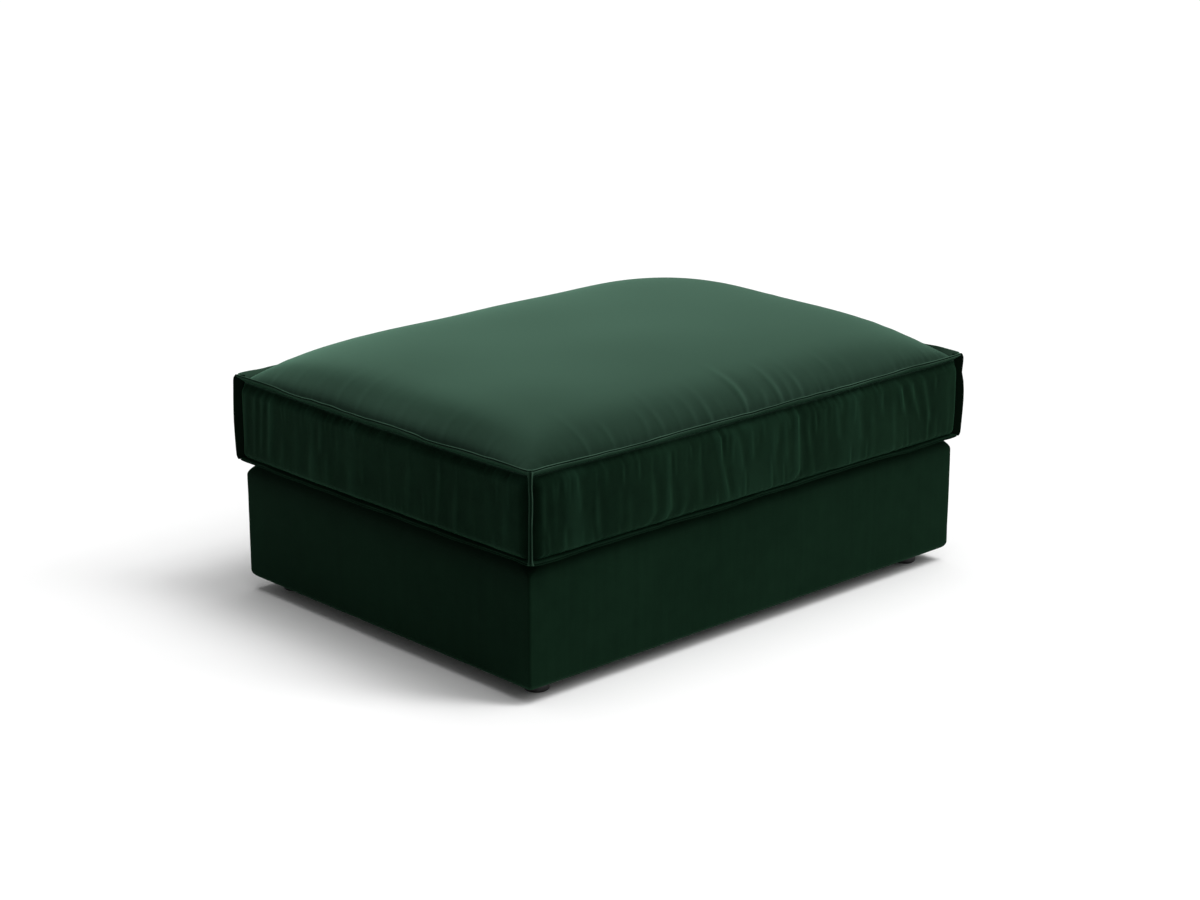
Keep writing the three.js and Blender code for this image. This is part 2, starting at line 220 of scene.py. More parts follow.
# The flanges: how far the tip stands out from the seam, how far up or down, and the upright ones' reach.
FLANGE_OUT = 12 * MM
FLANGE_TOP_RISE = 11 * MM
FLANGE_BOTTOM_RISE = -1.7 * MM
CORNER_FLANGE_REACH = 17.5 * MM

# How much a flange that runs round is rounded off at a corner, and how near the corner that starts.
FLANGE_ROUNDED = 4.5 * MM
FLANGE_ROUNDED_FROM = 5 * MM

# Half of a flange's section. Each row: how far out as a share of the width, how far off the middle line
# in millimetres, and how strong the painted highlight is there. It goes from the root round one ply's lip
# down into the valley between the plies.
FLANGE_PLY = [
    (-0.15, 1.3, 0.0),
    (0.15, 1.4, 0.2),
    (0.40, 1.6, 0.3),
    (0.65, 1.9, 0.35),
    (0.84, 2.2, 0.4),
    (0.93, 2.4, 0.5),
    (0.98, 2.2, 1.0),
    (1.00, 1.7, 1.0),
    (0.985, 1.15, 0.4),
    (0.93, 0.6, 0.1),
    (0.84, 0.25, 0.0),
]

# The base's soft edges and the swell of its faces.
BASE_CORNER = 5 * MM
BASE_TOP_CORNER = 30 * MM
BASE_TOP_EDGE = 24 * MM
BASE_BOTTOM_EDGE = 14 * MM
BASE_SWELL = 2.5 * MM

# How far the base's right face stands out past its CAD solid.
BASE_LONGER = 2 * MM

# Painted shade on the base: on its left face, and more under the cushion in front and at the left.
LEFT_FACE_PAINTED_SHADE = 0.45
UNDER_CUSHION_PAINTED_SHADE = (0.35, 0.55)


def smooth_step(low, high, value):
    """0 at low, 1 at high, and a soft curve between them, on numbers or arrays."""
    share = np.clip((value - low) / (high - low), 0, 1)
    return share * share * (3 - 2 * share)


def rise(distance, reach):
    """0 at an edge, 1 from reach on, with a soft start to the level part."""
    return np.sin(np.clip(distance / reach, 0, 1) * math.pi / 2)


def wander(place, spacing, seed):
    """Smooth chance variation between -1 and 1 along a line, with one turn for about each spacing."""
    knots = np.random.default_rng(seed).uniform(-1, 1, 1024)
    at = place / spacing + 400
    low = np.floor(at).astype(int)
    share = at - low
    share = share * share * (3 - 2 * share)
    return knots[low] * (1 - share) + knots[low + 1] * share


def lumps(points, spacing, seed):
    """Smooth chance variation in space, as a sum of a few waves of about the given spacing."""
    chance = np.random.default_rng(seed)
    total = np.zeros(len(points))
    count = 9
    for _ in range(count):
        direction = chance.normal(size=3)
        direction /= np.linalg.norm(direction)
        wave = 2 * math.pi / (spacing * chance.uniform(0.7, 1.6))
        total += np.sin(points @ direction * wave + chance.uniform(0, 2 * math.pi))
    return total / math.sqrt(count)


def read_points(mesh, field="co"):
    points = np.empty(len(mesh.vertices) * 3, dtype=np.float32)
    mesh.vertices.foreach_get(field, points)
    return points.reshape(-1, 3).astype(float)


def write_points(mesh, points):
    mesh.vertices.foreach_set("co", points.astype(np.float32).ravel())
    mesh.update()


def make_object(name, bm, smooth=True):
    """An object from a bmesh, with its origin at the frame's origin."""
    mesh = bpy.data.meshes.new(name)
    bm.to_mesh(mesh)
    bm.free()
    mesh.polygons.foreach_set("use_smooth", [smooth] * len(mesh.polygons))
    obj = bpy.data.objects.new(name, mesh)
    bpy.context.scene.collection.objects.link(obj)
    return obj


def make_wrapped(name, columns, rows, place, closed_rows=False, painted_lightness=None):
    """A closed skin from a flat grid, whose points are laid round the piece by a function.

    place gets arrays of column and row numbers and returns the points. The last column lies on the
    first. With closed_rows the last row lies on the first too, and otherwise each end row is one point.
    A last function, if given, gets the same numbers and gives the painted highlight's strength at each
    point.
    """
    bm = bmesh.new()
    bmesh.ops.create_grid(bm, x_segments=columns, y_segments=rows, size=1)
    flat = np.array([v.co for v in bm.verts])
    column = np.rint((flat[:, 0] + 1) / 2 * columns).astype(int)
    row = np.rint((flat[:, 1] + 1) / 2 * rows).astype(int)
    column = column % columns
    row = row % rows if closed_rows else row
    for vert, point in zip(bm.verts, place(column, row)):
        vert.co = point
    if painted_lightness:
        layer = bm.verts.layers.float.new("painted_lip_light")
        for vert, light in zip(bm.verts, painted_lightness(column, row)):
            vert[layer] = light
    bmesh.ops.remove_doubles(bm, verts=bm.verts, dist=0.01 * MM)
    bmesh.ops.recalc_face_normals(bm, faces=bm.faces)
    return make_object(name, bm)


def crown_height(x, y):
    """Height of the top panel over its seam."""
    along_x = np.clip(1 - (np.abs(x) / HALF_LENGTH) ** CROWN_SQUARENESS[0], 0, 1)
    along_y = np.clip(1 - (np.abs(y) / HALF_DEPTH) ** CROWN_SQUARENESS[1], 0, 1)
    from_corner = (HALF_LENGTH - np.abs(x)) + (HALF_DEPTH - np.abs(y))
    even = CROWN * along_x ** CROWN_STEEPNESS[0] * along_y ** CROWN_STEEPNESS[1]
    return even * (1 - CORNER_FLATNESS * np.exp(-from_corner / CORNER_FLAT_REACH))


def side_sag(side, share):
    """How far the top seam hangs, at a share of the way along a side."""
    depth, at = side[4], side[5]
    bent = np.where(share < at, share / at * 0.5, 0.5 + (share - at) / (1 - at) * 0.5)
    return depth * np.sin(math.pi * np.clip(bent, 0, 1)) ** 1.5


def place_along(side, x, y):
    """How far a plan point lies to the right of a side's middle."""
    return x * side[1][0] + y * side[1][1]


def seam_sag(x, y):
    """How far the top seam hangs at a point of its rectangle, blended between the sides inside it."""
    sag = np.zeros_like(x)
    total = np.zeros_like(x)
    for side in SIDES.values():
        share = np.clip(place_along(side, x, y) / (2 * side[3]) + 0.5, 0, 1)
        off = np.abs(x * side[2][0] / HALF_LENGTH + y * side[2][1] / HALF_DEPTH - 1)
        near = 1 / (off + 0.01) ** 3
        sag += near * side_sag(side, share)
        total += near
    return sag / total


def fold_profile(offset, width):
    """A soft ridge with a wider, shallower trough to its right."""
    ridge = np.exp(-((offset / width) ** 2))
    trough = np.exp(-(((offset - TROUGH_OFF * width) / (TROUGH_WIDTH * width)) ** 2))
    return ridge - TROUGH_DEPTH * trough


def chance_folds(seed, half_length):
    """Folds for a side that doesn't show from the front: as many and as uneven as there."""
    chance = np.random.default_rng(seed)
    rows = []
    at = -half_length / MM + 14
    while at < half_length / MM - 14:
        low = chance.choice([0.0, 0.1, 0.25])
        high = chance.choice([0.6, 0.9, 0.99])
        wide, tall = chance.uniform(6, 9), chance.uniform(0.4, 1.5)
        rows.append((at, wide, tall, chance.uniform(-4, 14), chance.uniform(0, 14), low, high))
        at += chance.uniform(20, 52)
    return rows


def fine_folds(seed, half_length, tallest):
    """Short, faint folds between the main ones, most of them hanging from the top seam."""
    chance = np.random.default_rng(seed)
    rows = []
    at = -half_length / MM + 8
    while at < half_length / MM - 8:
        from_top = chance.random() < 0.65
        low = chance.uniform(0.55, 0.8) if from_top else 0.0
        high = 1.0 if from_top else chance.uniform(0.2, 0.5)
        wide, tall = chance.uniform(2.8, 4.8), chance.uniform(0.3, 1.0) * tallest
        rows.append((at, wide, tall, chance.uniform(-2, 12), 0, low, high))
        at += chance.uniform(9, 24)
    return rows


def chance_puckers(seed, half_length):
    """Puckers for a side that doesn't show from the front."""
    chance = np.random.default_rng(seed)
    rows = []
    at = -half_length / MM + 20
    while at < half_length / MM - 20:
        wide, tall = chance.uniform(6, 9), chance.uniform(0.2, 0.7)
        rows.append((at, wide, tall, chance.uniform(-3, 5), chance.uniform(60, 130)))
        at += chance.uniform(24, 54)
    return rows


# Each side's folds and puckers, with fine folds between the main ones, fainter ones on the left.
FOLDS = {
    "front": FRONT_FOLDS,
    "right": chance_folds(31, HALF_DEPTH),
    "back": chance_folds(32, HALF_LENGTH),
    "left": LEFT_FOLDS,
}
for number, (name, side) in enumerate(SIDES.items()):
    tallest = LEFT_FINE_FOLDS if name == "left" else FINE_FOLDS
    FOLDS[name] = FOLDS[name] + fine_folds(51 + number, side[3], tallest)
PUCKERS = {
    "front": FRONT_PUCKERS,
    "right": chance_puckers(41, HALF_DEPTH),
    "back": chance_puckers(42, HALF_LENGTH),
    "left": LEFT_PUCKERS,
}


def boxing_relief(name, along, height):
    """How far the cloth of a side stands proud of its even bulge, in metres."""
    side = SIDES[name]
    relief = np.zeros_like(along)
    for number, (at, width, tall, slant, hook, low, high) in enumerate(FOLDS[name]):
        seed = 200 + 10 * number
        middle = at + slant * (0.5 - height) - hook * (1 - smooth_step(0.0, 0.24, height)) ** 1.5
        middle += FOLD_SWAY * wander(height, 0.32, seed)
        starts = smooth_step(low - 0.10, low + 0.14, height)
        runs = starts * (1 - smooth_step(high - 0.20, high + 0.06, height))
        uneven = 1.25 + 0.5 * wander(height, 0.30, seed + 1)
        wide = width * (0.88 + 0.22 * wander(height, 0.35, seed + 2))
        relief += tall * uneven * MM * runs * fold_profile((along - middle * MM) * side[6], wide * MM)
    return relief


def seam_gathers(along, from_seam, seed, strength):
    """Small gathers where the cloth runs into a seam's stitches, more of them in some stretches."""
    fine = wander(along, 7 * MM, seed) + 0.6 * wander(along, 4.5 * MM, seed + 1)
    much = 0.8 + 0.6 * wander(along, 80 * MM, seed + 2)
    return strength * much * fine * np.exp(-from_seam / GATHERS_FADE) * rise(from_seam, 5 * MM)


def top_relief(x, y):
    """How far the top panel stands proud of its even crown, in metres."""
    relief = np.zeros_like(x)
    lift = crown_height(x, y)
    for number, (name, side) in enumerate(SIDES.items()):
        along = place_along(side, x, y)
        half_across = HALF_DEPTH if side[2][0] == 0 else HALF_LENGTH
        inward = half_across - (x * side[2][0] + y * side[2][1])
        way_in = np.hypot(inward, np.minimum(lift, 60 * MM))
        for at, width, tall, lean, reach in PUCKERS[name]:
            share = np.clip(way_in / (reach * MM), 0, 1)
            runs = rise(way_in, 14 * MM) * (1 - smooth_step(0.30, 1.0, share))
            bent = PUCKER_SWAY * wander(share, 0.4, int(at) + 900)
            uneven = 0.6 + 0.4 * wander(share, 0.25, int(at) + 2000)
            offset = (along - (at + lean * share + bent) * MM) * side[6]
            relief += tall * uneven * MM * runs * fold_profile(offset, width * (0.8 + 0.8 * share) * MM)
        relief += seam_gathers(along, way_in, 60 + number, TOP_GATHERS)
    return relief


def cushion_grid():
    """An open box of even cells, from -1 to 1 each way, without its bottom."""
    bm = bmesh.new()
    bmesh.ops.create_cube(bm, size=2)
    bottom = [f for f in bm.faces if f.normal.z < -0.5]
    bmesh.ops.delete(bm, geom=bottom, context="FACES_ONLY")
    for axis, cells in enumerate(CELLS):
        along = [e for e in bm.edges if abs(e.verts[0].co[axis] - e.verts[1].co[axis]) > 1e-6]
        bmesh.ops.subdivide_edges(bm, edges=along, cuts=cells - 1, use_grid_fill=True)
    return bm


def shape_cushion(unit):
    """The even form of the cushion: the places of its points, from their places on the unit box."""
    p, q, r = unit.T
    on_top = r > ON_FACE
    side_x = (np.abs(p) > ON_FACE) & ~on_top
    side_y = (np.abs(q) > ON_FACE) & ~on_top
    height = (r + 1) / 2
    dense_p = 1.5 * p - 0.5 * p**3
    dense_q = 1.5 * q - 0.5 * q**3
    x = HALF_LENGTH * np.where(on_top, p + (dense_p - p) * (1 - q**4), p)
    y = HALF_DEPTH * np.where(on_top, q + (dense_q - q) * (1 - p**4), q)
    sag = seam_sag(x, y)
    from_middle = np.maximum(np.abs(p), np.abs(q))
    z_top = HIGH_SEAM - sag * from_middle**6 + crown_height(x, y)
    z_side = LOW_SEAM + (HIGH_SEAM - sag - LOW_SEAM) * height
    low_share = height**0.85
    from_seam = np.minimum(low_share, 1 - low_share) * (HIGH_SEAM - LOW_SEAM)
    for face, from_corner in ((side_x, HALF_DEPTH - np.abs(y)), (side_y, HALF_LENGTH - np.abs(x))):
        full = CORNER_BULGE + (BULGE - CORNER_BULGE) * rise(from_corner, BULGE_CHANGE)
        reach = np.where(height < 0.5, LOW_DRAWN_IN, DRAWN_IN)
        out = full * rise(from_seam, reach) * rise(from_corner, CORNER_DRAWN_IN)
        if face is side_x:
            x = x + np.where(face, np.sign(p) * out, 0)
        else:
            y = y + np.where(face, np.sign(q) * out, 0)
    return np.stack([x, y, np.where(on_top, z_top, z_side)], axis=1)


def cushion_relief(unit, points):
    """The relief of every point of the cushion's cloth over its even form."""
    p, q, r = unit.T
    x, y = points.T[:2]
    on_top = r > ON_FACE
    height = (r + 1) / 2
    tall = HIGH_SEAM - LOW_SEAM
    relief = np.where(on_top, top_relief(x, y), 0)
    for number, (name, side) in enumerate(SIDES.items()):
        faces_out = p * side[2][0] + q * side[2][1] > ON_FACE
        chosen = faces_out & ~on_top
        along = place_along(side, x, y)[chosen]
        share = height[chosen]
        from_seam = np.minimum(share, 1 - share) * tall
        from_corner = side[3] - np.abs(along)
        folds = boxing_relief(name, along, share) + MM * wander(along, 52 * MM, 20 + number)
        gathers = seam_gathers(along, (1 - share) * tall, 70 + number, HIGH_GATHERS)
        gathers += seam_gathers(along, share * tall, 90 + number, LOW_GATHERS)
        folds *= rise(from_seam, FOLDS_FROM_SEAM)
        relief[chosen] = (folds + gathers) * rise(from_corner, FOLDS_FROM_CORNER)
    return relief


def close_underside(obj):
    """Draws the cloth in from the low seam to the flat that lies on the base, and closes it."""
    bm = bmesh.new()
    bm.from_mesh(obj.data)
    rim = [e for e in bm.edges if e.is_boundary]
    drop = UNDERSIDE - LOW_SEAM
    inward = 0
    for step in range(1, UNDERSIDE_STEPS + 1):
        made = bmesh.ops.extrude_edge_only(bm, edges=rim)["geom"]
        rim = [g for g in made if isinstance(g, bmesh.types.BMEdge) and g.is_boundary]
        angle = step / UNDERSIDE_STEPS * math.pi / 2
        before = inward
        inward = UNDERSIDE_CURVE * math.sin(angle)
        for vert in {v for e in rim for v in e.verts}:
            vert.co.x *= (HALF_LENGTH - inward) / (HALF_LENGTH - before)
            vert.co.y *= (HALF_DEPTH - inward) / (HALF_DEPTH - before)
            vert.co.z = LOW_SEAM + drop * (1 - math.cos(angle))
    bmesh.ops.contextual_create(bm, geom=rim)
    bmesh.ops.recalc_face_normals(bm, faces=bm.faces)
    bm.to_mesh(obj.data)
    bm.free()
    obj.data.polygons.foreach_set("use_smooth", [True] * len(obj.data.polygons))


def store_number(mesh, name, values):
    """Keeps one number for each point, for the cloth's material to read."""
    attribute = mesh.attributes.new(name, "FLOAT", "POINT")
    attribute.data.foreach_set("value", values.astype(np.float32))


# How much of the painted light the left boxing gets, which leaves it in painted shade.
LEFT_BOXING_PAINTED_LIGHT = 0.15


def where_light_is_painted(unit, points):
    """Painted light: full in the top's middle, none at its seams, on the boxing away from the front left
    corner, less at the left.
    """
    x, y = points.T[:2]
    on_top = unit[:, 2] > ON_FACE
    inward = np.minimum(HALF_LENGTH - np.abs(x), HALF_DEPTH - np.abs(y))
    middle = smooth_step(5 * MM, 95 * MM, inward)
    from_near = np.hypot(x + HALF_LENGTH, y + HALF_DEPTH)
    on_left = np.where(unit[:, 0] < -ON_FACE, LEFT_BOXING_PAINTED_LIGHT, 1)
    return np.where(on_top, middle, smooth_step(60 * MM, 320 * MM, from_near) * on_left)


def lit_copy_share(unit, points):
    """Share of the lit velvet copy: all on the top panel, with painted shade where it bends to its seam and
    at the left.
    """
    x, y = points.T[:2]
    inward = np.minimum(HALF_LENGTH - np.abs(x), HALF_DEPTH - np.abs(y))
    to_left = smooth_step(0.5, 1.0, -x / HALF_LENGTH) * smooth_step(-1.0, -0.5, y / HALF_DEPTH)
    bend = np.exp(-(((inward - 26 * MM) / (26 * MM)) ** 2))
    on_top = unit[:, 2] > ON_FACE
    return np.where(on_top, 1 - (0.04 + 0.30 * to_left) * bend, 0)


def seam_painted_light(unit, points):
    """Painted light on the boxing near its seams, which lifts the shade under the flanges."""
    z = points[:, 2]
    from_seam = np.minimum(np.abs(z - LOW_SEAM), np.abs(HIGH_SEAM - z))
    return np.where(unit[:, 2] < ON_FACE, np.exp(-from_seam / (9 * MM)), 0)


def make_cushion():
    """The cushion's cover, with its folds, puckers and gathers, and the lumps of the filling under it."""
    obj = make_object("cushion_cover", cushion_grid())
    mesh = obj.data
    unit = read_points(mesh)
    even = shape_cushion(unit)
    write_points(mesh, even)
    relief = cushion_relief(unit, even)
    lumpy = LUMP_HEIGHT * lumps(even, LUMP_SPACING, 5) * rise(even[:, 2] - LOW_SEAM, 50 * MM)
    outward = read_points(mesh, "normal")
    write_points(mesh, even + outward * (relief + lumpy)[:, None])
    # The relief drives painted highlights on ridges and painted shade in hollows; painted light near the
    # seams is added.
    store_number(mesh, "lift", relief / MM + 1.2 * seam_painted_light(unit, even))
    # Where painted light is added to the cloth's colour.
    store_number(mesh, "brushing_and_painted_light", where_light_is_painted(unit, even))
    # Painted shade on the top panel near its seams and at the left, as the share of the lit velvet copy.
    store_number(mesh, "painted_lit_share", lit_copy_share(unit, even))
    close_underside(obj)
    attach(obj, "root")
    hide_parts("cushion")
    return obj


# Steps of a loop flange along the long and the short sides, and the number of the left side.
LOOP_STEPS = (260, 192)
LEFT_SIDE = 3


def loop_place(step):
    """Which side a step of a loop is on, as a number, and its share of the way along."""
    long_steps, short_steps = LOOP_STEPS
    starts = np.array([0, long_steps, long_steps + short_steps, 2 * long_steps + short_steps])
    counts = np.array([long_steps, short_steps, long_steps, short_steps])
    side = np.searchsorted(starts, step, side="right") - 1
    return side, (step - starts[side]) / counts[side]


def flange_section(lower_light, upper_light):
    """A flange's section round both plies: shares of the width, distances off the middle line, painted
    highlight.
    """
    lower = [(reach, -off * MM, light * lower_light) for reach, off, light in FLANGE_PLY]
    upper = [(reach, off * MM, light * upper_light) for reach, off, light in reversed(FLANGE_PLY)]
    middle = [(FLANGE_PLY[-1][0] - 0.01, 0.0, 0.0)]
    return np.array(lower + middle + upper)


def make_loop_flange(node, seam, tip_rise, sags, lights, seed):
    """A flange that runs all round the cushion, with painted highlights of the given strengths on its lower
    and upper lip.
    """
    section = flange_section(*lights)
    columns = 2 * sum(LOOP_STEPS)
    width = math.hypot(FLANGE_OUT, tip_rise)
    direction = np.array([FLANGE_OUT, tip_rise]) / width
    across = np.array([-direction[1], direction[0]])

    def place(column, row):
        reach, off = section[row, :2].T
        side, share = loop_place(column)
        sides = list(SIDES.values())
        start = np.array([s[0] for s in sides])[side]
        run = np.array([s[1] for s in sides])[side]
        half = np.array([s[3] for s in sides])[side]
        along = (share * 2 - 1) * half
        round_way = along + side * 1.3
        sag = np.zeros_like(share)
        if sags:
            for number, one in enumerate(sides):
                sag = np.where(side == number, side_sag(one, share), sag)
        from_corner = half - np.abs(along)
        calm = rise(from_corner, 60 * MM)
        wave_up = 1.7 * wander(round_way, 90 * MM, seed) + 0.6 * wander(round_way, 26 * MM, seed + 1)
        wave_out = wander(round_way, 110 * MM, seed + 2) + 0.35 * wander(round_way, 22 * MM, seed + 3)
        thick = 1 + 0.14 * wander(round_way, 33 * MM, seed + 4)
        out = reach * width * direction[0] + off * thick * across[0] + wave_out * MM * calm * reach
        up = reach * width * direction[1] + off * thick * across[1] + wave_up * MM * calm * reach
        soft = np.exp(-from_corner / FLANGE_ROUNDED_FROM) * FLANGE_ROUNDED * np.clip(reach, 0, 1)
        grown_x = HALF_LENGTH + out - soft
        grown_y = HALF_DEPTH + out - soft
        x = (start[:, 0] + 2 * share * run[:, 0]) * grown_x
        y = (start[:, 1] + 2 * share * run[:, 1]) * grown_y
        return np.stack([x, y, seam - sag + up], axis=1)

    def painted_lightness(column, row):
        side = loop_place(column)[0]
        # The lower lip on the left side gets less painted highlight, as painted shade.
        lower_left = (side == LEFT_SIDE) & (row < len(FLANGE_PLY))
        return section[row, 2] * (1 + 0.35 * wander(column / 4, 3, seed + 7)) * np.where(lower_left, 0.4, 1)

    obj = make_wrapped("sewn_" + node, columns, len(section), place, True, painted_lightness)
    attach(obj, "root")
    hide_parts(node)
    return obj


# Wavy tips of the upright flanges, in millimetres: the reach at even steps from bottom to top.
CORNER_TIPS = {
    "front_left": (0.4, 0.2, 0.0, 0.3, 0.6, 0.8, 0.5, 0.2, 0.3, 0.5),
    "front_right": (-0.6, 0.2, 1.2, 2.2, 2.8, 2.6, 1.4, -1.8, -0.6, 0.2),
    "back_right": (0.2, 0.8, 1.4, 1.0, 0.4, -0.6, 0.2, 1.2, 0.8, 0.2),
    "back_left": (-0.2, 0.6, 1.2, 1.8, 2.2, 2.2, 1.8, 1.4, 0.8, 0.4),
}
CORNER_STEPS = 64
CORNER_SIGNS = {"front_left": (-1, -1), "front_right": (1, -1), "back_right": (1, 1), "back_left": (-1, 1)}

# Painted highlights on the two lips of each upright flange, and painted shade on the flanges that turn away
# from the light.
PAINTED_LIP_LIGHTS_AT_CORNERS = {
    "front_left": (0.15, 0.45),
    "front_right": (0.0, 0.1),
    "back_right": (0.3, 0.3),
    "back_left": (0.1, 0.0),
}
SHADE_PAINTED_ON_TURNED_FLANGES = {"front_right": 0.65, "back_left": 0.65}


def make_corner_flange(name, seed):
    """An upright flange in the plane that halves a corner, from the low flange to the top one."""
    section = flange_section(*PAINTED_LIP_LIGHTS_AT_CORNERS[name])
    rows = CORNER_STEPS
    sign = np.array(CORNER_SIGNS[name]) / math.sqrt(2)
    aside = np.array([-sign[1], sign[0]])
    tips = np.array(CORNER_TIPS[name]) * MM
    low = LOW_SEAM + FLANGE_BOTTOM_RISE
    high = HIGH_SEAM + FLANGE_TOP_RISE - 1 * MM

    def place(column, row):
        reach, off = section[column, :2].T
        share = np.clip((row - 1) / (rows - 2), 0, 1)
        end = (row == 0) | (row == rows)
        from_end = np.minimum(share, 1 - share) * (high - low)
        tip = CORNER_FLANGE_REACH + np.interp(share, np.linspace(0, 1, len(tips)), tips)
        tip = tip - 3.0 * MM * np.exp(-from_end / (3 * MM))
        out = np.where(end, 0.4, reach) * tip
        sway = (1.0 * wander(share, 0.35, seed) + 0.4 * wander(share, 0.12, seed + 1)) * MM
        thick = 1.35 + 0.12 * wander(share, 0.2, seed + 2) + 0.9 * np.exp(-from_end / (6 * MM))
        off = np.where(end, 0, off) * thick + sway * np.clip(reach, 0, 1) * rise(from_end, 25 * MM)
        z = low + (high - low) * share
        plan = out[:, None] * sign + off[:, None] * aside
        corner = np.array(CORNER_SIGNS[name]) * (HALF_LENGTH, HALF_DEPTH)
        return np.column_stack([plan + corner, z])

    def painted_lightness(column, row):
        return section[column, 2] * (1 + 0.3 * wander(row / 4, 2, seed + 7))

    obj = make_wrapped("upright_flange_" + name, len(section), rows, place, painted_lightness=painted_lightness)
    # Painted shade on an upright flange that turns away from the light.
    dark = np.full(len(obj.data.vertices), SHADE_PAINTED_ON_TURNED_FLANGES.get(name, 0))
    store_number(obj.data, "painted_shade", dark)
    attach(obj, "root")
    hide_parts("corner_flange_" + name)
    return obj


# Steps of the base's skin: along its long and short sides, round a corner, over an edge and up a face.
BASE_SIDE_STEPS = (110, 80)
BASE_ARC_STEPS = 10
BASE_EDGE_STEPS = 10
BASE_FACE_STEPS = 30


def base_level(row):
    """How far a row of the base is drawn in, its height, and its share of the swell."""
    low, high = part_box("base")[0][2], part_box("base")[1][2]
    level = row - 1
    down = np.clip(level / BASE_EDGE_STEPS, 0, 1) * math.pi / 2
    face = np.clip((level - BASE_EDGE_STEPS) / BASE_FACE_STEPS, 0, 1)
    over = np.clip((level - BASE_EDGE_STEPS - BASE_FACE_STEPS) / BASE_EDGE_STEPS, 0, 1) * math.pi / 2
    drawn_in = BASE_BOTTOM_EDGE * (1 - np.sin(down)) + BASE_TOP_EDGE * (1 - np.cos(over))
    z = low + BASE_BOTTOM_EDGE * (1 - np.cos(down)) + BASE_TOP_EDGE * np.sin(over)
    z = z + (high - low - BASE_BOTTOM_EDGE - BASE_TOP_EDGE) * face
    return drawn_in, z, np.sin(math.pi * face)


def add_unevenness(obj):
    """Slight unevenness of the padding under the base's upright faces."""
    points = read_points(obj.data)
    outward = read_points(obj.data, "normal")
    on_face = 1 - np.abs(outward[:, 2])
    uneven = 0.35 * MM * lumps(points, 150 * MM, 8) + 0.12 * MM * lumps(points, 45 * MM, 9)
    write_points(obj.data, points + outward * (uneven * on_face)[:, None])
    return points, outward


def store_painted_shade(obj, points, outward):
    """Painted shade on the base: on its left face, and on its top under the cushion."""
    below_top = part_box("base")[1][2] - points[:, 2]
    on_left = smooth_step(0.3, 0.9, -outward[:, 0])
    under_cushion = 1 - smooth_step(8 * MM, (30 + 35 * on_left) * MM, below_top)
    in_front, at_left = UNDER_CUSHION_PAINTED_SHADE
    under_cushion *= in_front + (at_left - in_front) * on_left
    store_number(obj.data, "painted_shade", LEFT_FACE_PAINTED_SHADE * on_left + under_cushion)


def make_base():
    """The base's cover: soft edges, and faces that swell a little."""
    per_side = [BASE_ARC_STEPS + BASE_SIDE_STEPS[n % 2] for n in range(4)]
    starts = np.cumsum([0, *per_side[:-1]])
    columns = sum(per_side)
    rows = 2 * BASE_EDGE_STEPS + BASE_FACE_STEPS + 2
    low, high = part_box("base")
    half_x = (high[0] - low[0] + BASE_LONGER) / 2 - BASE_SWELL
    half_y = (high[1] - low[1]) / 2 - BASE_SWELL
    corners = np.array([(-1, -1), (1, -1), (1, 1), (-1, 1)])
    angles = np.array([1, 1.5, 0, 0.5]) * math.pi

    def place(column, row):
        drawn_in, z, swell = base_level(row)
        number = np.searchsorted(starts, column, side="right") - 1
        step = column - starts[number]
        steps = np.array(per_side)[number] - BASE_ARC_STEPS
        on_arc = step <= BASE_ARC_STEPS
        rounder = smooth_step(high[2] - BASE_TOP_EDGE, high[2], z)
        radius = BASE_CORNER + (BASE_TOP_CORNER - BASE_CORNER) * rounder
        inner_x = half_x - drawn_in - radius
        inner_y = half_y - drawn_in - radius
        angle = angles[number] + np.minimum(step / BASE_ARC_STEPS, 1) * math.pi / 2
        share = np.clip((step - BASE_ARC_STEPS) / steps, 0, 1)
        here, there = corners[number], corners[(number + 1) % 4]
        mix = here + (there - here) * share[:, None]
        out = radius + np.where(on_arc, 0, BASE_SWELL * swell * np.sin(math.pi * share))
        x = mix[:, 0] * inner_x + out * np.cos(angle) + BASE_LONGER / 2
        y = mix[:, 1] * inner_y + out * np.sin(angle)
        middle = (row == 0) | (row == rows)
        return np.stack([np.where(middle, 0, x), np.where(middle, 0, y), z], axis=1)

    obj = make_wrapped("base_cover", columns, rows, place)
    store_painted_shade(obj, *add_unevenness(obj))
    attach(obj, "root")
    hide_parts("base")
    return obj


# How round a foot's lower edge is.
FOOT_EDGE = 3.5 * MM


def make_foot(node):
    """A turned plastic foot with a rounded lower edge and a shallow ring under it."""
    low, high = (Vector(c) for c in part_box(node))
    middle = (low + high) / 2
    radius = (high.x - low.x) / 2
    edge = FOOT_EDGE
    turns = np.linspace(0, math.pi / 2, 7)
    arc = [(radius - edge + edge * math.sin(a), edge - edge * math.cos(a)) for a in turns]
    profile = [(0, 0.8 * MM), (radius * 0.42, 0.8 * MM), (radius * 0.48, 0), *arc]
    profile += [(radius, high.z - 1.2 * MM), (radius - 1 * MM, high.z), (0, high.z)]
    bm = bmesh.new()
    verts = [bm.verts.new((middle.x + r, middle.y, z)) for r, z in profile]
    edges = [bm.edges.new(pair) for pair in zip(verts, verts[1:])]
    bmesh.ops.spin(
        bm, geom=verts + edges, cent=(middle.x, middle.y, 0), axis=(0, 0, 1),
        angle=2 * math.pi, steps=64, use_merge=True,
    )
    bmesh.ops.remove_doubles(bm, verts=bm.verts, dist=0.01 * MM)
    bmesh.ops.recalc_face_normals(bm, faces=bm.faces)
    obj = make_object("turned_" + node, bm)
    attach(obj, "root")
    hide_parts(node)
    return obj


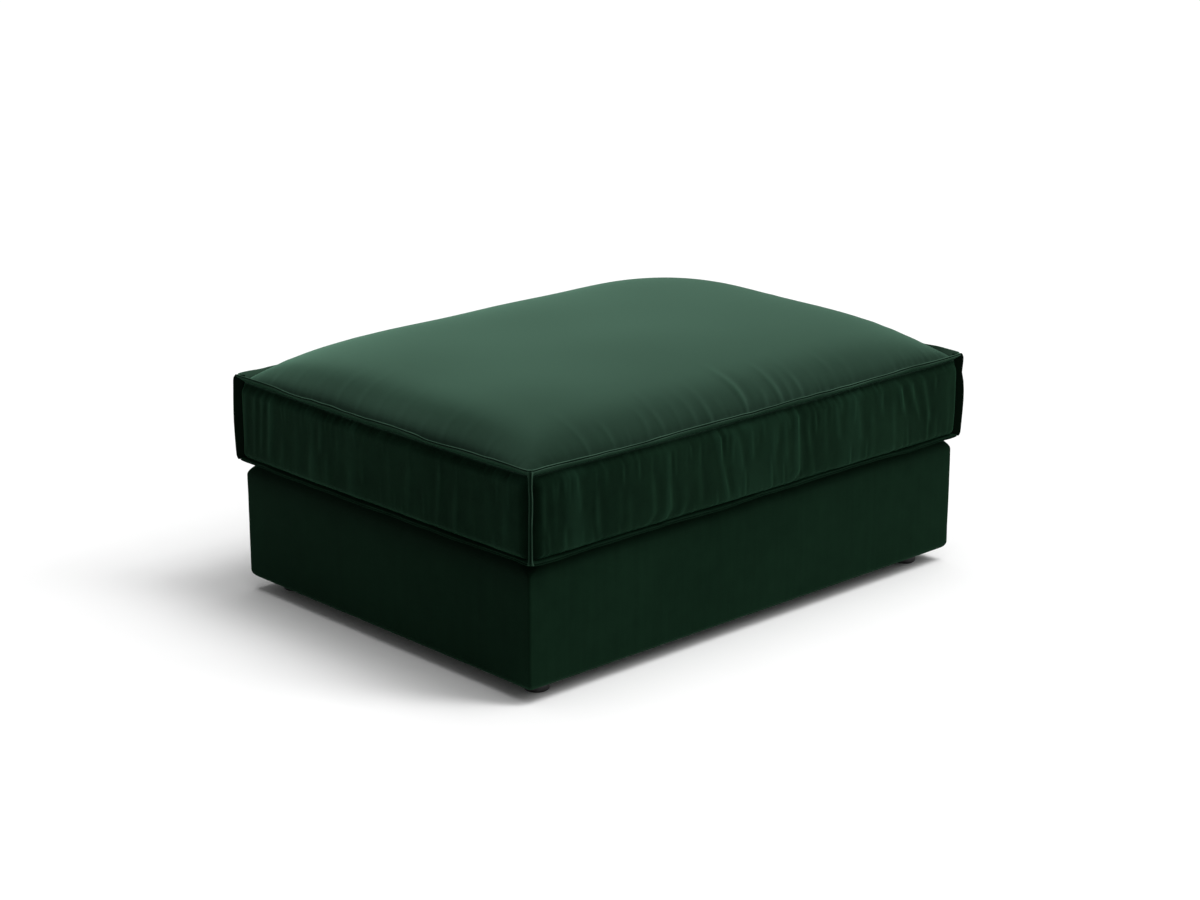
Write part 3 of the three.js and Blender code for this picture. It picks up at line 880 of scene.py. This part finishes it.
class Socket:
    """An output of a material's node. Python's operators on it add Math nodes."""

    def __init__(self, tree, output):
        self.tree = tree
        self.output = output

    def node(self, kind, settings=None, inputs=None, output=0):
        """Adds a node: its settings first, then the values or links of its inputs, and gives an output."""
        made = self.tree.nodes.new(kind)
        for name, value in (settings or {}).items():
            setattr(made, name, value)
        for name, value in (inputs or {}).items():
            if isinstance(value, Socket):
                self.tree.links.new(value.output, made.inputs[name])
            else:
                made.inputs[name].default_value = value
        return Socket(self.tree, made.outputs[output])

    def math(self, operation, *values):
        return self.node("ShaderNodeMath", {"operation": operation}, dict(enumerate(values)))

    def __add__(self, other):
        return self.math("ADD", self, other)

    __radd__ = __add__

    def __rsub__(self, other):
        return self.math("SUBTRACT", other, self)

    def __mul__(self, other):
        return self.math("MULTIPLY", self, other)

    __rmul__ = __mul__

    def between(self, low, high):
        """0 up to low, 1 from high on."""
        inputs = {"Value": self, "From Min": low, "From Max": high}
        return self.node("ShaderNodeMapRange", {"clamp": True}, inputs)

    def mix(self, first, second):
        """The first colour where this is 0, the second where it is 1."""
        inputs = {"Factor": self, 6: first, 7: second}
        return self.node("ShaderNodeMix", {"data_type": "RGBA"}, inputs, output=2)


def set_constants(shader, constants):
    for socket, value in constants.items():
        shader.inputs[socket].default_value = value


def add_shader(tree, constants):
    """One more shader in a material, for a part of its surface."""
    shader = tree.nodes.new("ShaderNodeBsdfPrincipled")
    set_constants(shader, constants)
    return shader


def new_material(name, constants):
    """A material with its shader's fixed values set, the shader, and a socket to start nodes from."""
    material = bpy.data.materials.new(name)
    material.use_nodes = True
    tree = material.node_tree
    shader = tree.nodes["Principled BSDF"]
    set_constants(shader, constants)
    place = Socket(tree, tree.nodes.new("ShaderNodeTexCoord").outputs["Object"])
    return material, shader, place


def connect(node, name, socket):
    socket.tree.links.new(socket.output, node.inputs[name])


def noise(place, scale, detail=2, roughness=0.5):
    inputs = {"Vector": place, "Scale": scale, "Detail": detail, "Roughness": roughness}
    return place.node("ShaderNodeTexNoise", None, inputs)


def stretched(place, stretch):
    """The place with each axis stretched: a large number makes a pattern fine along that axis."""
    return place.node("ShaderNodeMapping", None, {"Vector": place, "Scale": stretch})


# Velvet whose pile is brushed towards the viewer shines at a flat view, and brushed away it stays dark.
# The top panel is cut one way, and the boxing, the flanges and the base the other. The two sheens are
# also painted light: they make the top read lit and the sides shaded.
PAINTED_LIT_PILE = {
    "Specular IOR Level": 0.03,
    "Sheen Weight": 0.52,
    "Sheen Roughness": 0.5,
    "Sheen Tint": (0.50, 1.0, 0.72, 1),
}
PAINTED_SHADED_PILE = {
    "Specular IOR Level": 0.02,
    "Sheen Weight": 0.08,
    "Sheen Roughness": 0.4,
    "Sheen Tint": (0.28, 1.0, 0.52, 1),
}

# The cushion's cloth: the darkest and lightest pile, and the painted light added where the top's middle and
# the boxing are lit.
SHINING_GREENS = ((0.0018, 0.0080, 0.0038, 1), (0.0028, 0.0112, 0.0054, 1), (0.010, 0.020, 0.014))
DARK_GREENS = ((0.0014, 0.0066, 0.0031, 1), (0.0034, 0.0124, 0.0062, 1), (0.0013, 0.0036, 0.0019))

# Painted light on the same pile: a painted highlight on a ridge, painted shade in a hollow, painted shade
# where a flange turns away from the light, and a painted highlight on a flange's lip.
PAINTED_RIDGE_HIGHLIGHT = (0.0090, 0.0290, 0.0165, 1)
PAINTED_FOLD_SHADE = (0.0016, 0.0066, 0.0032, 1)
PAINTED_AWAY_SHADE = (0.0004, 0.0020, 0.0009, 1)
PAINTED_LIP_HIGHLIGHT = (0.050, 0.102, 0.070, 1)

# The base's cloth: the darkest and lightest pile, and its painted shade.
BASE_DARKEST = (0.0019, 0.0086, 0.0040, 1)
BASE_LIGHTEST = (0.0042, 0.0152, 0.0075, 1)
BASE_PAINTED_SHADE = (0.0008, 0.0032, 0.0016, 1)


def number_of(place, name):
    """A number that the script has stored on the piece's points. It is 0 on a piece without it."""
    return place.node("ShaderNodeAttribute", {"attribute_name": name}, None, output=2)


def pile_colour(place, greens, tone):
    """The cloth's colour: random tone with painted light, painted highlights on ridges and lips, painted
    shade in folds and where stored.
    """
    darkest, lightest, gain = greens
    lift = number_of(place, "lift")
    green = tone.between(0.35, 0.65).mix(darkest, lightest)
    # Painted light, added where the script stored it.
    forward = green.node("ShaderNodeVectorMath", {"operation": "ADD"}, {0: green, 1: gain})
    green = number_of(place, "brushing_and_painted_light").mix(green, forward)
    # Painted highlights on ridges and painted shade in hollows, from the stored relief.
    green = (lift.between(0.2, 1.4) * 0.4).mix(green, PAINTED_RIDGE_HIGHLIGHT)
    green = ((0 - lift).between(0.1, 0.9) * 0.45).mix(green, PAINTED_FOLD_SHADE)
    # Painted shade where it was stored: on flanges that turn away from the light.
    green = number_of(place, "painted_shade").mix(green, PAINTED_AWAY_SHADE)
    # Painted highlight on the flanges' lips.
    return number_of(place, "painted_lip_light").mix(green, PAINTED_LIP_HIGHLIGHT)


def cushion_velvet():
    """The cushion's velvet: the lit copy on the top panel, the shaded copy elsewhere, mixed by a painted
    share, with brushed patches.
    """
    material, dark, place = new_material("cushion velvet", PAINTED_SHADED_PILE)
    shining = add_shader(place.tree, PAINTED_LIT_PILE)
    brushing_and_painted_light = noise(stretched(place, (1.6, 1.6, 2.4)), 3.2, 3, 0.55)
    mottle = noise(place, 38, 3, 0.6)
    pile = noise(place, 900, 2, 0.7)
    tone = brushing_and_painted_light * 0.45 + mottle * 0.4 + pile * 0.15
    nap = pile * 0.7 + noise(place, 260, 2, 0.6) * 0.3
    bump = place.node("ShaderNodeBump", None, {"Strength": 0.35, "Distance": 0.0006, "Height": nap})
    for shader, greens in ((dark, DARK_GREENS), (shining, SHINING_GREENS)):
        connect(shader, "Base Color", pile_colour(place, greens, tone))
        connect(shader, "Roughness", 0.78 + 0.14 * mottle)
        connect(shader, "Normal", bump)
    # The painted share mixes the shaded and the lit copy of the velvet.
    shaders = {
        0: number_of(place, "painted_lit_share"),
        1: Socket(place.tree, dark.outputs["BSDF"]),
        2: Socket(place.tree, shining.outputs["BSDF"]),
    }
    blend = place.node("ShaderNodeMixShader", None, shaders)
    connect(place.tree.nodes["Material Output"], "Surface", blend)
    return material


def base_velvet():
    """The base's velvet, stretched smooth, with faint upright streaks where the pile was brushed, and
    painted shade.
    """
    material, shader, place = new_material("base velvet", PAINTED_SHADED_PILE)
    streaks = noise(stretched(place, (90, 90, 3.0)), 1.0, 3, 0.6)
    brushing_and_painted_light = noise(place, 5, 3, 0.55)
    pile = noise(place, 900, 2, 0.7)
    mottle = noise(place, 30, 3, 0.6)
    tone = streaks * 0.3 + brushing_and_painted_light * 0.3 + mottle * 0.25 + pile * 0.15
    green = tone.between(0.35, 0.65).mix(BASE_DARKEST, BASE_LIGHTEST)
    # Painted shade on the left face and under the cushion.
    green = (number_of(place, "painted_shade") * 0.85).mix(green, BASE_PAINTED_SHADE)
    connect(shader, "Base Color", green)
    connect(shader, "Roughness", 0.80 + 0.12 * streaks)
    nap = pile * 0.7 + streaks * 0.3
    bump = place.node("ShaderNodeBump", None, {"Strength": 0.3, "Distance": 0.0006, "Height": nap})
    connect(shader, "Normal", bump)
    return material


def foot_plastic():
    """Black moulded plastic with a fine grain and light scuffs."""
    constants = {"Specular IOR Level": 0.45}
    material, shader, place = new_material("black foot plastic", constants)
    grain = noise(place, 420, 2, 0.6)
    scuffs = noise(stretched(place, (60, 60, 260)), 1.0, 4, 0.7).between(0.55, 0.8)
    connect(shader, "Base Color", scuffs.mix((0.012, 0.012, 0.013, 1), (0.030, 0.030, 0.031, 1)))
    connect(shader, "Roughness", 0.38 + 0.14 * grain + 0.12 * scuffs)
    bump = place.node("ShaderNodeBump", None, {"Strength": 0.2, "Distance": 0.0003, "Height": grain})
    connect(shader, "Normal", bump)
    return material


def floor_finish():
    material, shader, place = new_material("pale floor", {"Specular IOR Level": 0.1})
    connect(shader, "Base Color", noise(place, 6, 2, 0.5).mix((0.90, 0.90, 0.90, 1), (0.92, 0.92, 0.92, 1)))
    shader.inputs["Roughness"].default_value = 0.9
    return material


def make_camera():
    """The photo's view, found by fitting a camera to the pouf's straight edges."""
    azimuth = math.radians(-43.19)
    elevation = math.radians(17.28)
    turn = math.tan(math.radians(-0.09))
    tilt = math.tan(math.radians(0.27))
    target = Vector((0, 0, 206 * MM))
    distance = 4486 * MM
    level = math.cos(elevation)
    back = Vector((math.sin(azimuth) * level, -math.cos(azimuth) * level, math.sin(elevation)))
    right = Vector((0, 0, 1)).cross(back).normalized()
    forward = right * turn + back.cross(right) * tilt - back
    camera = bpy.data.objects.new("camera", bpy.data.cameras.new("camera"))
    bpy.context.scene.collection.objects.link(camera)
    camera.data.sensor_width = 36
    camera.data.lens = 77.52
    camera.location = target + back * distance
    camera.rotation_mode = "QUATERNION"
    camera.rotation_quaternion = forward.to_track_quat("-Z", "Y")
    bpy.context.scene.camera = camera


def make_sun(name, azimuth, elevation, strength, softness):
    """A far soft light. Azimuth 0 shines from the front, 90 from the right."""
    data = bpy.data.lights.new(name, "SUN")
    data.energy = strength
    data.angle = math.radians(softness)
    lamp = bpy.data.objects.new(name, data)
    a, e = math.radians(azimuth), math.radians(elevation)
    back = Vector((math.sin(a) * math.cos(e), -math.cos(a) * math.cos(e), math.sin(e)))
    lamp.rotation_mode = "QUATERNION"
    lamp.rotation_quaternion = (-back).to_track_quat("-Z", "Y")
    bpy.context.scene.collection.objects.link(lamp)


# The soft lights: azimuth, elevation, strength and softness of the one above, and the tall soft box as a
# column of lamps, each with its elevation and strength. Then the strength of the pale surround.
LIGHT_ABOVE = (40, 83, 1.48, 55)
SOFT_BOX_AZIMUTH = 36
SOFT_BOX_SOFTNESS = 18
SOFT_BOX = [(27, 0.25), (38, 0.35), (49, 0.45), (60, 0.50), (71, 0.55)]
SURROUND = 0.22


def make_studio():
    """A pale floor, a bright surround, a soft light from above and a tall soft box at the front right."""
    bm = bmesh.new()
    bmesh.ops.create_grid(bm, x_segments=1, y_segments=1, size=30)
    floor = make_object("floor", bm, smooth=False)
    floor.data.materials.append(floor_finish())
    make_sun("light from above", *LIGHT_ABOVE)
    for elevation, strength in SOFT_BOX:
        name = f"soft box at {elevation} degrees"
        make_sun(name, SOFT_BOX_AZIMUTH, elevation, strength, SOFT_BOX_SOFTNESS)
    world = bpy.data.worlds.new("studio")
    world.use_nodes = True
    background = world.node_tree.nodes["Background"]
    background.inputs["Color"].default_value = (1, 1, 1, 1)
    background.inputs["Strength"].default_value = SURROUND
    bpy.context.scene.world = world


bpy.context.scene.view_settings.view_transform = "Standard"
make_camera()
make_studio()
cushion_cloth = cushion_velvet()
# The flanges' lips get painted highlights: strong on the top flange, hardly any on the bottom one.
soft_parts = [
    make_cushion(),
    make_loop_flange("top_flange", HIGH_SEAM, FLANGE_TOP_RISE, True, (0.5, 1.2), 11),
    make_loop_flange("bottom_flange", LOW_SEAM, FLANGE_BOTTOM_RISE, False, (0.0, 0.03), 12),
]
for number, corner in enumerate(CORNER_SIGNS):
    soft_parts.append(make_corner_flange(corner, 80 + 3 * number))
for part in soft_parts:
    part.data.materials.append(cushion_cloth)
make_base().data.materials.append(base_velvet())
plastic = foot_plastic()
for corner in CORNER_SIGNS:
    make_foot("foot_" + corner).data.materials.append(plastic)
